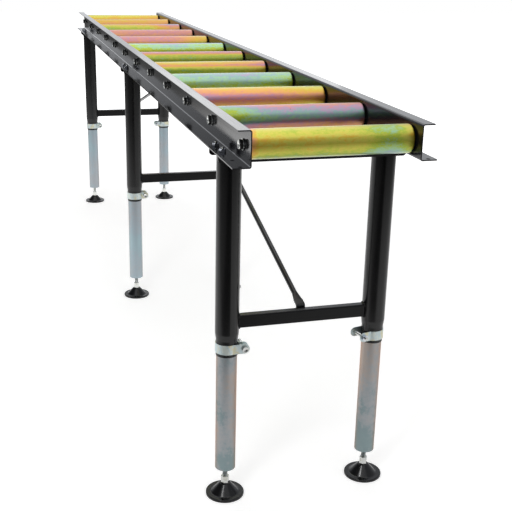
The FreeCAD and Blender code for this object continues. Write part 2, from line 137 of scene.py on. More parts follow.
def makeRailEnamel(finish):
    material, tree = newMaterial("stoveEnamelAnthracite")
    place = addNode(tree, "ShaderNodeTexCoord").outputs["Object"]
    cloud = addNode(tree, "ShaderNodeTexNoise", {"Scale": patternScale(finish["cloud"]), "Detail": 3.0},
                    {"Vector": place})
    tone = addNode(tree, "ShaderNodeMix",
                   {"A": hexColour(finish["colour"]), "B": hexColour(finish["shade"])},
                   {"Factor": cloud.outputs["Fac"]}, data_type="RGBA")
    drawn = addNode(tree, "ShaderNodeVectorMath", {1: (finish["rubStretch"], 1, 1)}, {0: place},
                    operation="MULTIPLY")
    rub = addNode(tree, "ShaderNodeTexNoise", {"Scale": patternScale(finish["rub"]), "Detail": 4.0},
                  {"Vector": drawn.outputs["Vector"]})
    rough = addNode(tree, "ShaderNodeMapRange",
                    {"From Min": finish["rubStart"], "From Max": finish["rubFull"],
                     "To Min": finish["roughness"], "To Max": finish["rubbed"]},
                    {"Value": rub.outputs["Fac"]})
    normal = addNode(tree, "ShaderNodeNewGeometry").outputs["Normal"]
    facing = addNode(tree, "ShaderNodeSeparateXYZ", links={"Vector": normal})
    axes = addNode(tree, "ShaderNodeSeparateXYZ", links={"Vector": place})
    # Painted shade: the reflection is tinted darker on the faces inside the rails.
    outward = addNode(tree, "ShaderNodeMath", links={0: facing.outputs["Y"], 1: axes.outputs["Y"]},
                      operation="MULTIPLY")
    outside = addNode(tree, "ShaderNodeMapRange",
                      {"From Min": finish["insideFull"], "From Max": finish["insideStart"]},
                      {"Value": outward.outputs["Value"]})
    insideShadeTint = addNode(tree, "ShaderNodeMix", {"A": hexColour(finish["inside"]), "B": grey(1.0)},
                    {"Factor": outside.outputs["Result"]}, data_type="RGBA")
    # Painted highlight: a clear coat on the lower fold makes a thin light line.
    sloped = addNode(tree, "ShaderNodeMath", links={0: facing.outputs["Y"], 1: facing.outputs["Z"]},
                     operation="MULTIPLY")
    steep = addNode(tree, "ShaderNodeMath", links={0: sloped.outputs["Value"]}, operation="ABSOLUTE")
    low = addNode(tree, "ShaderNodeMath", {1: finish["foldHeight"] * mm}, {0: axes.outputs["Z"]},
                  operation="LESS_THAN")
    folded = addNode(tree, "ShaderNodeMath", links={0: steep.outputs["Value"], 1: low.outputs["Value"]},
                     operation="MULTIPLY")
    foldHighlight = addNode(tree, "ShaderNodeMapRange",
                     {"From Min": finish["foldStart"], "From Max": finish["foldFull"],
                      "To Max": finish["fold"]},
                     {"Value": folded.outputs["Value"]})
    peel = addNode(tree, "ShaderNodeTexNoise", {"Scale": patternScale(finish["peel"]), "Detail": 1.0},
                   {"Vector": place})
    bump = addNode(tree, "ShaderNodeBump",
                   {"Strength": finish["bump"], "Distance": finish["peelDepth"] * mm},
                   {"Height": peel.outputs["Fac"]})
    shader = addNode(tree, "ShaderNodeBsdfPrincipled",
                     {"IOR": finish["ior"], "Coat Roughness": finish["foldRoughness"]},
                     {"Base Color": tone.outputs["Result"], "Roughness": rough.outputs["Result"],
                      "Specular Tint": insideShadeTint.outputs["Result"], "Coat Weight": foldHighlight.outputs["Result"],
                      "Normal": bump.outputs["Normal"]})
    closeMaterial(tree, shader)
    return material


# Powder coat on tube and sheet: black and satin, with a fine grain that spreads the highlight.
# The crossbars between the legs get a darker specular tint, which is painted shade from the bed above.
legPowder = {
    "colour": "#070708", "dusty": "#0D0D0E", "cloud": 60, "ior": 1.5,
    "roughness": 0.23, "glossier": 0.05, "duller": 0.06, "grain": 0.9, "grainDepth": 0.05, "bump": 0.10,
    # thin: darker specular tint for the painted shade on the crossbars
    "thin": "#B4B4B4", "barCentre": 438, "barReach": 18, "barHalf": 150,
}


def makeLegPowder(finish):
    material, tree = newMaterial("powderCoatBlackSatin")
    place = addNode(tree, "ShaderNodeTexCoord").outputs["Object"]
    cloud = addNode(tree, "ShaderNodeTexNoise", {"Scale": patternScale(finish["cloud"]), "Detail": 4.0},
                    {"Vector": place})
    tone = addNode(tree, "ShaderNodeMix",
                   {"A": hexColour(finish["colour"]), "B": hexColour(finish["dusty"])},
                   {"Factor": cloud.outputs["Fac"]}, data_type="RGBA")
    grain = addNode(tree, "ShaderNodeTexNoise", {"Scale": patternScale(finish["grain"]), "Detail": 2.0},
                    {"Vector": place})
    bump = addNode(tree, "ShaderNodeBump",
                   {"Strength": finish["bump"], "Distance": finish["grainDepth"] * mm},
                   {"Height": grain.outputs["Fac"]})
    rough = addNode(tree, "ShaderNodeMapRange",
                    {"To Min": finish["roughness"] - finish["glossier"],
                     "To Max": finish["roughness"] + finish["duller"]},
                    {"Value": cloud.outputs["Fac"]})
    # Painted shade: a darker specular tint on the crossbars between the legs.
    axes = addNode(tree, "ShaderNodeSeparateXYZ", links={"Vector": place})
    level = addNode(tree, "ShaderNodeMath", {1: finish["barCentre"] * mm, 2: finish["barReach"] * mm},
                    {0: axes.outputs["Z"]}, operation="COMPARE")
    between = addNode(tree, "ShaderNodeMath", {1: 0.0, 2: finish["barHalf"] * mm}, {0: axes.outputs["Y"]},
                      operation="COMPARE")
    shadedBarMask = addNode(tree, "ShaderNodeMath", links={0: level.outputs["Value"], 1: between.outputs["Value"]},
                    operation="MULTIPLY")
    shine = addNode(tree, "ShaderNodeMix", {"A": grey(1.0), "B": hexColour(finish["thin"])},
                    {"Factor": shadedBarMask.outputs["Value"]}, data_type="RGBA")
    shader = addNode(tree, "ShaderNodeBsdfPrincipled", {"IOR": finish["ior"]},
                     {"Base Color": tone.outputs["Result"], "Roughness": rough.outputs["Result"],
                      "Specular Tint": shine.outputs["Result"], "Normal": bump.outputs["Normal"]})
    closeMaterial(tree, shader)
    return material


# Zinc plate with yellow passivation: a clear film whose thickness wanders over the tube,
# so the metal under it runs through gold, orange, pink, lilac, teal and green.
# Old drips have left a few brown specks.
passivation = {
    "roughness": 0.45, "spread": 0.08, "coat": 1.0, "coatRoughness": 0.25,
    "cloud": 60, "wander": 0.24, "mottle": 6, "mottleStretch": 0.5, "grain": 0.42,
    "speck": 40, "speckCore": 0.02, "speckEdge": 0.05, "stain": "#6A5A2C", "stainDepth": 0.45,
    "aroundPlaces": (0.722, 0.667, 0.62, 0.578, 0.533, 0.444, 0.37),  # parts of a turn, crest to underside
    "alongPlaces": (0.0, 0.06, 0.4, 0.6, 0.88, 1.0),  # parts of the length, left tip to right tip
    "shift": (3.7, 1.3, 0.0),  # from one roller's clouds to the next, in metres
}
filmColours = [
    (0.00, "#DDD14C"), (0.10, "#E2BA30"), (0.22, "#EFAE58"), (0.34, "#E69C78"), (0.44, "#D88F98"),
    (0.53, "#BB9DB9"), (0.62, "#93B3B4"), (0.72, "#A2CB9C"), (0.84, "#ABC22C"), (0.93, "#CFCE40"),
    (1.00, "#DDD14C"),
]
# Film from the crest over the brow and front to the underside, a painted sheen standing in for iridescence
# that moves with the view and light, how it changes at the left tip and end and at the right end and tip, and
# how bright the plating is
rollerFilms = [
    {"around": (1.02, 0.95, 0.96, 1.06, 1.02, 0.96, 0.84), "along": (0.34, 0.00, -0.22, 0.04), "tone": 0.93},
    {"around": (0.36, 0.50, 0.56, 0.62, 0.65, 0.34, 0.25), "along": (0.46, 0.26, 0.00, 0.00), "tone": 0.82},
    {"around": (0.02, 0.15, 0.24, 0.41, 0.41, 0.16, 0.00), "along": (0.26, 0.10, -0.14, -0.14), "tone": 0.93},
    {"around": (0.64, 0.61, 0.67, 0.67, 0.73, 0.86, 0.95), "along": (0.18, 0.02, 0.06, 0.06), "tone": 0.98},
    {"around": (1.02, 1.12, 1.32, 0.92, 0.85, 0.88, 0.85), "along": (0.12, -0.02, 0.10, 0.20), "tone": 0.80},
    {"around": (1.42, 1.38, 0.90, 0.84, 0.84, 0.86, 0.84), "along": (0.22, 0.02, 0.00, 0.00), "tone": 0.71},
    {"around": (0.50, 0.70, 0.66, 0.76, 0.86, 0.86, 0.90), "along": (0.28, 0.12, 0.08, 0.08), "tone": 1.06},
    {"around": (0.37, 0.42, 0.41, 0.42, 0.20, 0.60, 0.90), "along": (0.18, 0.02, -0.28, -0.28), "tone": 0.82},
    {"around": (0.39, 0.40, 0.40, 0.36, 0.36, 0.60, 0.85), "along": (0.12, -0.02, -0.02, -0.02), "tone": 0.77},
    {"around": (1.24, 1.07, 0.95, 0.88, 1.02, 1.10, 1.30), "along": (0.08, -0.06, 0.36, 0.36), "tone": 0.77},
    {"around": (0.14, 0.13, 0.18, 0.26, 0.10, 0.30, 0.30), "along": (0.08, -0.06, 0.02, 0.02), "tone": 0.80},
    {"around": (0.96, 1.02, 1.08, 1.16, 1.15, 1.20, 1.20), "along": (0.10, -0.06, 0.03, 0.03), "tone": 0.90},
]


def makePassivation(number, films):
    low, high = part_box("roller_tube_%02d" % number)
    centre = (low + high) / 2
    crest, under = films["around"][0], films["around"][-1]
    back = grey((crest + under) / 4)
    sheenTurnStops = [(part, grey(film / 2)) for part, film in zip(passivation["aroundPlaces"], films["around"])]
    leftTip, leftEnd, rightEnd, rightTip = films["along"]
    changes = (leftTip, leftEnd, 0.0, 0.0, rightEnd, rightTip)
    lengthStops = [(part, grey(0.5 + change)) for part, change in zip(passivation["alongPlaces"], changes)]
    plated = []
    for stop, code in filmColours:
        red, green, blue, alpha = hexColour(code)
        plated.append((stop, (films["tone"] * red, films["tone"] * green, films["tone"] * blue, alpha)))

    material, tree = newMaterial("zincYellowPassivated%02d" % number)
    place = addNode(tree, "ShaderNodeTexCoord").outputs["Object"]
    local = addNode(tree, "ShaderNodeVectorMath", {1: -centre}, {0: place}, operation="ADD").outputs["Vector"]
    axes = addNode(tree, "ShaderNodeSeparateXYZ", links={"Vector": local})
    # Painted sheen: the film is set by the angle around the tube, where real iridescence follows the view and
    # light.
    turn = addNode(tree, "ShaderNodeMath", links={0: axes.outputs["Z"], 1: axes.outputs["X"]},
                   operation="ARCTAN2")
    lap = addNode(tree, "ShaderNodeMapRange", {"From Min": -math.pi, "From Max": math.pi},
                  {"Value": turn.outputs["Value"]})
    around = addNode(tree, "ShaderNodeValToRGB", links={"Fac": lap.outputs["Result"]},
                     stops=[(0.0, back), *reversed(sheenTurnStops), (1.0, back)])
    length = addNode(tree, "ShaderNodeMapRange", {"From Min": low.y, "From Max": high.y},
                     {"Value": axes.outputs["Y"]})
    along = addNode(tree, "ShaderNodeValToRGB", links={"Fac": length.outputs["Result"]}, stops=lengthStops)
    shift = tuple(number * part for part in passivation["shift"])
    seed = addNode(tree, "ShaderNodeVectorMath", {1: shift}, {0: local}, operation="ADD")
    cloud = addNode(tree, "ShaderNodeTexNoise",
                    {"Scale": patternScale(passivation["cloud"]), "Detail": 5.0, "Roughness": 0.6},
                    {"Vector": seed.outputs["Vector"]})
    drawn = addNode(tree, "ShaderNodeVectorMath", {1: (1, passivation["mottleStretch"], 1)},
                    {0: seed.outputs["Vector"]}, operation="MULTIPLY")
    mottle = addNode(tree, "ShaderNodeTexNoise",
                     {"Scale": patternScale(passivation["mottle"]), "Detail": 4.0, "Roughness": 0.7},
                     {"Vector": drawn.outputs["Vector"]})
    shape = addNode(tree, "ShaderNodeMath", {1: 2.0},
                    {0: around.outputs["Color"], 2: along.outputs["Color"]}, operation="MULTIPLY_ADD")
    patch = addNode(tree, "ShaderNodeMath", {1: passivation["wander"]},
                    {0: cloud.outputs["Fac"], 2: shape.outputs["Value"]}, operation="MULTIPLY_ADD")
    fine = addNode(tree, "ShaderNodeMath", {1: passivation["grain"]},
                   {0: mottle.outputs["Fac"], 2: patch.outputs["Value"]}, operation="MULTIPLY_ADD")
    level = addNode(tree, "ShaderNodeMath",
                    {1: 0.5 + passivation["wander"] / 2 + passivation["grain"] / 2},
                    {0: fine.outputs["Value"]}, operation="SUBTRACT")
    wrap = addNode(tree, "ShaderNodeMath", links={0: level.outputs["Value"]}, operation="FRACT")
    colour = addNode(tree, "ShaderNodeValToRGB", links={"Fac": wrap.outputs["Value"]}, stops=plated)
    speck = addNode(tree, "ShaderNodeTexVoronoi", {"Scale": patternScale(passivation["speck"])},
                    {"Vector": seed.outputs["Vector"]})
    spot = addNode(tree, "ShaderNodeMapRange",
                   {"From Min": passivation["speckCore"], "From Max": passivation["speckEdge"],
                    "To Min": passivation["stainDepth"], "To Max": 0.0},
                   {"Value": speck.outputs["Distance"]})
    stained = addNode(tree, "ShaderNodeMix", {"B": hexColour(passivation["stain"])},
                      {"Factor": spot.outputs["Result"], "A": colour.outputs["Color"]}, data_type="RGBA")
    rough = addNode(tree, "ShaderNodeMapRange",
                    {"To Min": passivation["roughness"] - passivation["spread"],
                     "To Max": passivation["roughness"] + passivation["spread"]},
                    {"Value": mottle.outputs["Fac"]})
    shader = addNode(tree, "ShaderNodeBsdfPrincipled",
                     {"Metallic": 1.0, "Coat Weight": passivation["coat"],
                      "Coat Roughness": passivation["coatRoughness"]},
                     {"Base Color": stained.outputs["Result"], "Roughness": rough.outputs["Result"]})
    closeMaterial(tree, shader)
    return material


# Zinc plate with clear blue passivation: grey metal that leans to tan or teal where the film is thicker.
# Drawn tube shows it in long runs, pressed strip and cut fasteners in small patches.
# The near tubes hung upright out of the bath, so their film is thicker towards the foot.
tubeZinc = {"name": "zincClearDrawnTube", "colours": ("#B2A9A3", "#A9ABAD", "#A0A7AB", "#8D9EA1"),
            "rim": "#FFD0B0", "roughness": 0.40, "patch": 90, "draw": 0.7, "mottle": 10, "fleck": 0.35,
            "drain": {"top": 340, "foot": 80, "thin": -0.06, "thick": 0.09}}
coolZinc = {"name": "zincBlueDrawnTube", "colours": ("#A6ABB0", "#A3AEB5", "#A1AFB7", "#9FB3BA"),
            "rim": "#F4E6DC", "roughness": 0.36, "patch": 90, "draw": 0.7, "mottle": 10, "fleck": 0.35}
bandZinc = {"name": "zincClearPressedStrip", "colours": ("#DEDCC2", "#D6E0DE", "#CCDCE0", "#DCE4DE"),
            "rim": "#FFFFFF", "roughness": 0.42, "patch": 18, "draw": 0.6, "mottle": 5, "fleck": 0.3}
boltZinc = {"name": "zincBrightFastener", "colours": ("#CBCBC3", "#DADBD8", "#D2D5D5", "#E0E0DB"),
            "rim": "#FFFFFF", "roughness": 0.13, "patch": 7, "draw": 1.0, "mottle": 3, "fleck": 0.3}
nutZinc = {"name": "zincBluePressedNut", "colours": ("#D4D8E2", "#DEE2EC", "#DADFEA", "#E4E7F0"),
           "rim": "#FFFFFF", "roughness": 0.15, "patch": 7, "draw": 1.0, "mottle": 3, "fleck": 0.3}
axleSteel = {"name": "steelBrightDrawnBar", "colours": ("#8C8A86", "#9A9A9A", "#A2A2A0", "#90908E"),
             "rim": "#FFFFFF", "roughness": 0.34, "patch": 9, "draw": 1.0, "mottle": 3, "fleck": 0.3}
zincSteps = (-0.12, -0.04, 0.04, 0.11)  # where the four colours lie about the middle of the film
zincSpread = 0.07  # of the roughness


def makeClearZinc(finish):
    material, tree = newMaterial(finish["name"])
    place = addNode(tree, "ShaderNodeTexCoord").outputs["Object"]
    drawn = addNode(tree, "ShaderNodeVectorMath", {1: (1, 1, finish["draw"])}, {0: place},
                    operation="MULTIPLY")
    patch = addNode(tree, "ShaderNodeTexNoise", {"Scale": patternScale(finish["patch"]), "Detail": 2.0},
                    {"Vector": drawn.outputs["Vector"]})
    mottle = addNode(tree, "ShaderNodeTexNoise",
                     {"Scale": patternScale(finish["mottle"]), "Detail": 4.0, "Roughness": 0.65},
                     {"Vector": place})
    film = addNode(tree, "ShaderNodeMath", {1: finish["fleck"]},
                   {0: mottle.outputs["Fac"], 2: patch.outputs["Fac"]}, operation="MULTIPLY_ADD")
    if "drain" in finish:
        drain = finish["drain"]
        axes = addNode(tree, "ShaderNodeSeparateXYZ", links={"Vector": place})
        gathered = addNode(tree, "ShaderNodeMapRange",
                           {"From Min": drain["foot"] * mm, "From Max": drain["top"] * mm,
                            "To Min": drain["thick"], "To Max": drain["thin"]},
                           {"Value": axes.outputs["Z"]})
        film = addNode(tree, "ShaderNodeMath",
                       links={0: film.outputs["Value"], 1: gathered.outputs["Result"]}, operation="ADD")
    middle = 0.5 + finish["fleck"] / 2
    tints = [(middle + step, hexColour(code)) for step, code in zip(zincSteps, finish["colours"])]
    tint = addNode(tree, "ShaderNodeValToRGB", links={"Fac": film.outputs["Value"]}, stops=tints)
    rough = addNode(tree, "ShaderNodeMapRange",
                    {"To Min": finish["roughness"] - zincSpread, "To Max": finish["roughness"] + zincSpread},
                    {"Value": mottle.outputs["Fac"]})
    shader = addNode(tree, "ShaderNodeBsdfPrincipled",
                     {"Metallic": 1.0, "Specular Tint": hexColour(finish["rim"])},
                     {"Base Color": tint.outputs["Color"], "Roughness": rough.outputs["Result"]})
    closeMaterial(tree, shader)
    return material


# Moulded nylon: black, glossy on the feet and duller on the bearing caps, with faint flow marks
padNylon = {"name": "nylonMouldedGloss", "colour": "#050506", "flow": "#09090A", "mark": 14,
            "roughness": 0.19, "glossier": 0.05, "duller": 0.07, "ior": 1.47}
capNylon = {"name": "nylonMouldedMatt", "colour": "#050505", "flow": "#0A0A0A", "mark": 9,
            "roughness": 0.5, "glossier": 0.05, "duller": 0.07, "ior": 1.47}


def makeNylon(finish):
    material, tree = newMaterial(finish["name"])
    place = addNode(tree, "ShaderNodeTexCoord").outputs["Object"]
    flow = addNode(tree, "ShaderNodeTexNoise", {"Scale": patternScale(finish["mark"]), "Detail": 3.0},
                   {"Vector": place})
    tone = addNode(tree, "ShaderNodeMix",
                   {"A": hexColour(finish["colour"]), "B": hexColour(finish["flow"])},
                   {"Factor": flow.outputs["Fac"]}, data_type="RGBA")
    rough = addNode(tree, "ShaderNodeMapRange",
                    {"To Min": finish["roughness"] - finish["glossier"],
                     "To Max": finish["roughness"] + finish["duller"]},
                    {"Value": flow.outputs["Fac"]})
    shader = addNode(tree, "ShaderNodeBsdfPrincipled", {"IOR": finish["ior"]},
                     {"Base Color": tone.outputs["Result"], "Roughness": rough.outputs["Result"]})
    closeMaterial(tree, shader)
    return material


legPaint = makeLegPowder(legPowder)
fastenerZinc = makeClearZinc(boltZinc)
dress(["left_rail", "right_rail"], makeRailEnamel(railEnamel))
dress([row + part for row in rowPlaces for part in ("_leg_head", "_leg_frame")], legPaint)
dress(["near_brace", "far_brace"], legPaint)
for number, films in zip(rollerNumbers, rollerFilms):
    dress(["roller_tube_%02d" % number], makePassivation(number, films))
dress(["roller_caps_%02d" % number for number in rollerNumbers], makeNylon(capNylon))
dress(["roller_axles"], makeClearZinc(axleSteel))
dress([name + "_inner_leg" for name in legNames[:2]], makeClearZinc(tubeZinc))  # the near pair
dress([name + "_inner_leg" for name in legNames[2:]], makeClearZinc(coolZinc))
dress(["clamp_bands"], makeClearZinc(bandZinc))
dress([name + "_foot_pad" for name in legNames], makeNylon(padNylon))
print("materials set:", len(bpy.data.materials))

# Turned and rolled shapes, drawn upright in mm: how far the round face reaches on a hexagon, its chamfer,
# the threads, and how finely all of it is drawn
turning = {"face": 0.475, "chamfer": 30, "samples": 60, "threadDepth": 0.6, "threadSamples": 18,
           "closeness": 0.0005, "sharpAngle": 30}
chamferFall = math.tan(math.radians(turning["chamfer"]))


def hexReach(flats, angle):  # from the axis to the side of a hexagon, in that direction
    sector = math.pi / 3
    return flats / 2 / math.cos((angle + sector / 2) % sector - sector / 2)


def roundRing(radius, height):
    return lambda angle: (radius, height)


def hexRing(flats, height, fall=0.0):  # the chamfer falls away outside the round face
    face = turning["face"] * flats
    return lambda angle: (hexReach(flats, angle), height - fall * (hexReach(flats, angle) - face))


def spinRings(builder, rings, samples, closed=False):  # each ring gives a radius and a height at an angle
    loops = []
    for ring in rings:
        loop = []
        for step in range(samples):
            angle = 2 * math.pi * step / samples
            radius, height = ring(angle)
            loop.append(builder.verts.new((radius * math.cos(angle), radius * math.sin(angle), height)))
        loops.append(loop)
    pairs = list(zip(loops, loops[1:]))
    if closed:
        pairs.append((loops[-1], loops[0]))
    else:
        builder.faces.new(loops[0])
        builder.faces.new(loops[-1])
    for lower, upper in pairs:
        for step in range(samples):
            follow = (step + 1) % samples
            builder.faces.new((lower[step], lower[follow], upper[follow], upper[step]))


def windThread(builder, radius, pitch, low, high):  # a helical ridge that runs out at both ends
    samples = turning["threadSamples"]
    root = radius - turning["threadDepth"] * pitch
    lastStep = int((high - low) / pitch * samples)
    roots = []
    crests = []
    for step in range(-samples, lastStep + samples + 1):
        angle = 2 * math.pi * step / samples
        for line, shift in ((roots, 0.0), (crests, pitch / 2)):
            height = min(max(low + pitch * step / samples + shift, low), high)
            grown = min(1.0, (height - low) / pitch, (high - height) / pitch) if line is crests else 0.0
            reach = root + grown * (radius - root)
            line.append(builder.verts.new((reach * math.cos(angle), reach * math.sin(angle), height)))
    for step in range(len(roots) - 1):
        builder.faces.new((roots[step], roots[step + 1], crests[step + 1], crests[step]))
        if step + samples + 1 < len(roots):
            nextTurn = step + samples
            builder.faces.new((crests[step], crests[step + 1], roots[nextTurn + 1], roots[nextTurn]))
    builder.faces.new(roots[:samples])
    builder.faces.new(roots[-samples:])


def finishMesh(builder, name):  # closes a shape that was drawn in mm
    bmesh.ops.remove_doubles(builder, verts=builder.verts, dist=turning["closeness"])
    bmesh.ops.dissolve_degenerate(builder, edges=builder.edges, dist=turning["closeness"])
    bmesh.ops.recalc_face_normals(builder, faces=builder.faces)
    mesh = bpy.data.meshes.new(name)
    builder.to_mesh(mesh)
    builder.free()
    return mesh


def setPieces(name, pattern, places, body, material, twist=0):  # one object, the pattern at each place
    builder = bmesh.new()
    for count, (position, direction) in enumerate(places):
        start = len(builder.verts)
        builder.from_mesh(pattern)
        builder.verts.ensure_lookup_table()
        lean = Vector((0, 0, 1)).rotation_difference(Vector(direction)).to_matrix().to_4x4()
        spin = Matrix.Rotation(math.radians(count * twist % 60), 4, "Z")  # no two were tightened alike
        move = Matrix.Translation(Vector(position) * mm) @ lean @ spin @ Matrix.Scale(mm, 4)
        bmesh.ops.transform(builder, matrix=move, verts=builder.verts[start:])
    mesh = bpy.data.meshes.new(name)
    builder.to_mesh(mesh)
    builder.free()
    mesh.polygons.foreach_set("use_smooth", [True] * len(mesh.polygons))
    mesh.set_sharp_from_angle(angle=math.radians(turning["sharpAngle"]))
    mesh.materials.append(material)
    piece = bpy.data.objects.new(name, mesh)
    bpy.context.scene.collection.objects.link(piece)
    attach(piece, body)
    return piece


# Hexagon bolts, nuts and washers: turned chamfers and rolled threads,
# with a washer face under each bolt head and a dish in its top
boltM12 = {"diameter": 12, "flats": 18, "head": 7.5, "pitch": 1.75, "dish": 1.2}
boltM8 = {"diameter": 8, "flats": 13, "head": 5.3, "nut": 6.5, "pitch": 1.25, "dish": 0.8}
boltShape = {"fillet": 0.3, "washerFace": 0.4, "dishRim": 0.72, "dishBend": 0.6, "bendDepth": 0.4,
             "dishFloor": 0.3}
nutShape = {"countersink": 0.5}
axleWasher = {"outside": 24, "inside": 13, "thickness": 2.5, "edge": 0.4, "samples": 48}
boltLengths = {"axle": (25, 0), "head": (16, 12), "clamp": (50, 22), "brace": (16, 12)}  # whole, threaded
twists = {"bolt": 37, "nut": 55}  # degrees from each one to the next


def makeBolt(name, size, length, threaded):
    builder = bmesh.new()
    radius = size["diameter"] / 2
    flats, head = size["flats"], size["head"]
    face = turning["face"] * flats
    fillet, collar = boltShape["fillet"], boltShape["washerFace"]
    plain = length - threaded
    spinRings(builder, [
        roundRing(radius, -plain), roundRing(radius, -fillet), roundRing(radius + fillet, 0),
        roundRing(face, 0), roundRing(face, collar), hexRing(flats, collar),
        hexRing(flats, head, chamferFall), roundRing(face, head),
        roundRing(boltShape["dishRim"] * face, head),
        roundRing(boltShape["dishBend"] * face, head - boltShape["bendDepth"] * size["dish"]),
        roundRing(boltShape["dishFloor"] * face, head - size["dish"]),
    ], turning["samples"])
    if threaded:
        windThread(builder, radius, size["pitch"], -length, -plain)
    return finishMesh(builder, name)


def makeNut(name, size):
    builder = bmesh.new()
    bore = size["diameter"] / 2
    flats, height = size["flats"], size["nut"]
    face = turning["face"] * flats
    sink = nutShape["countersink"]
    spinRings(builder, [
        roundRing(bore, sink), roundRing(bore + sink, 0), roundRing(face, 0),
        hexRing(flats, 0, -chamferFall), hexRing(flats, height, chamferFall),
        roundRing(face, height), roundRing(bore + sink, height), roundRing(bore, height - sink),
    ], turning["samples"], closed=True)
    return finishMesh(builder, name)


def makeWasher(name, size):
    builder = bmesh.new()
    outside, inside = size["outside"] / 2, size["inside"] / 2
    top, edge = size["thickness"], size["edge"]
    spinRings(builder, [
        roundRing(inside, 0), roundRing(outside, 0), roundRing(outside, top - edge),
        roundRing(outside - edge, top), roundRing(inside + edge, top), roundRing(inside, top - edge),
    ], size["samples"], closed=True)
    return finishMesh(builder, name)


axlePlaces = []
washerPlaces = []
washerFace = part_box("axle_washers")[1].y / mm
for number in rollerNumbers:
    low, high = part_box("roller_tube_%02d" % number)
    x, z = (low.x + high.x) / 2 / mm, (low.z + high.z) / 2 / mm
    for side in (-1, 1):
        washerPlaces.append(((x, side * (washerFace - axleWasher["thickness"]), z), (0, side, 0)))
        axlePlaces.append(((x, side * washerFace, z), (0, side, 0)))

legPair = {"legY": 175, "boltSpacing": 58, "boltLine": 197, "headUnder": 822, "flangeTop": 827.5,
           "clampHeight": 378.75, "earOffset": 13, "earThickness": 1.5, "earReach": 35.5}
clampFits = {"near_left": {"turn": 0, "front": 23.5, "back": -10},
             "near_right": {"turn": 193, "front": 18, "back": 18}}
headPlaces = []
clampPlaces = []
nutPlaces = []
for row, x in rowPlaces.items():
    for sideName, side in sidePlaces.items():
        for offset in (-legPair["boltSpacing"] / 2, legPair["boltSpacing"] / 2):
            line = (x + offset, side * legPair["boltLine"])
            headPlaces.append(((*line, legPair["headUnder"]), (0, 0, -1)))
            nutPlaces.append(((*line, legPair["flangeTop"]), (0, 0, 1)))
        square = {"turn": 0 if side < 0 else 180, "front": legPair["earOffset"], "back": legPair["earOffset"]}
        fit = clampFits.get(row + "_" + sideName, square)
        clampTurn = Matrix.Rotation(math.radians(fit["turn"]), 3, "Z")
        leg = Vector((x, side * legPair["legY"], legPair["clampHeight"]))
        bolted = clampTurn @ Vector((fit["front"] + legPair["earThickness"], legPair["earReach"], 0))
        nutted = clampTurn @ Vector((-fit["back"] - legPair["earThickness"], legPair["earReach"], 0))
        clampPlaces.append((leg + bolted, clampTurn @ Vector((1, 0, 0))))
        nutPlaces.append((leg + nutted, clampTurn @ Vector((-1, 0, 0))))

braceEnds = {"barFace": 1315, "barWall": 2, "barHeight": 438,
             "headFace": 40, "headWall": 3, "headHeight": 813.25, "flat": 4}
bracePlaces = []
for way in (-1, 1):
    lower = way * (braceEnds["barFace"] - braceEnds["flat"])
    upper = way * (braceEnds["headFace"] + braceEnds["flat"])
    lowerNut = way * (braceEnds["barFace"] + braceEnds["barWall"])
    upperNut = way * (braceEnds["headFace"] - braceEnds["headWall"])
    bracePlaces.append(((lower, 0, braceEnds["barHeight"]), (-way, 0, 0)))
    bracePlaces.append(((upper, 0, braceEnds["headHeight"]), (way, 0, 0)))
    nutPlaces.append(((lowerNut, 0, braceEnds["barHeight"]), (way, 0, 0)))
    nutPlaces.append(((upperNut, 0, braceEnds["headHeight"]), (-way, 0, 0)))

axleBolt = makeBolt("axleBolt", boltM12, *boltLengths["axle"])
washer = makeWasher("axleWasher", axleWasher)
headBolt = makeBolt("headBolt", boltM8, *boltLengths["head"])
clampBolt = makeBolt("clampBolt", boltM8, *boltLengths["clamp"])
braceBolt = makeBolt("braceBolt", boltM8, *boltLengths["brace"])
boltNut = makeNut("boltNut", boltM8)
fastenerSets = [
    ("axleBoltSet", "axle_bolts", axleBolt, axlePlaces, fastenerZinc, twists["bolt"]),
    ("axleWasherSet", "axle_washers", washer, washerPlaces, fastenerZinc, twists["bolt"]),
    ("headBoltSet", "head_bolts", headBolt, headPlaces, fastenerZinc, twists["bolt"]),
    ("clampBoltSet", "clamp_bolts", clampBolt, clampPlaces, fastenerZinc, twists["bolt"]),
    ("braceBoltSet", "brace_bolts", braceBolt, bracePlaces, fastenerZinc, twists["bolt"]),
    ("boltNutSet", "bolt_nuts", boltNut, nutPlaces, makeClearZinc(nutZinc), twists["nut"]),
]
for name, node, pattern, places, finish, twist in fastenerSets:
    piece = setPieces(name, pattern, places, "frame", finish, twist)
    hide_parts(node)
print("fastener sets made:", len(fastenerSets))

# Levelling spindles: stem in the pad, hexagon for the spanner, rolled thread up into the leg
spindle = {"stem": 10, "stemLow": 14, "hexLow": 28, "hexHigh": 47.5, "flats": 17,
           "diameter": 12, "pitch": 1.75, "top": 139.5}


def makeSpindle():
    builder = bmesh.new()
    stem, flats = spindle["stem"] / 2, spindle["flats"]
    low, high = spindle["hexLow"], spindle["hexHigh"]
    face = turning["face"] * flats
    spinRings(builder, [
        roundRing(stem, spindle["stemLow"]), roundRing(stem, low), roundRing(face, low),
        hexRing(flats, low, -chamferFall), hexRing(flats, high, chamferFall), roundRing(face, high),
    ], turning["samples"])
    windThread(builder, spindle["diameter"] / 2, spindle["pitch"], high, spindle["top"])
    return finishMesh(builder, "spindle")


spindlePattern = makeSpindle()
for row, x in rowPlaces.items():
    for sideName, side in sidePlaces.items():
        name = row + "_" + sideName
        foot = ((x, side * legPair["legY"], 0), (0, 0, 1))
        piece = setPieces("spindle_" + name, spindlePattern, [foot], name + "_foot",
                          fastenerZinc)
        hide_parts(name + "_spindle")
print("spindles set")

# Weld beads round the leg tops and the crossbar ends, rippled as a hand weld leaves them
weld = {"leg": 27, "bead": 2.4, "ripple": 0.16, "wave": 2.6, "barDepth": 20, "barHeight": 30,
        "barCentre": 438, "squareness": 0.25, "legSteps": 260, "barSteps": 200, "sides": 8}


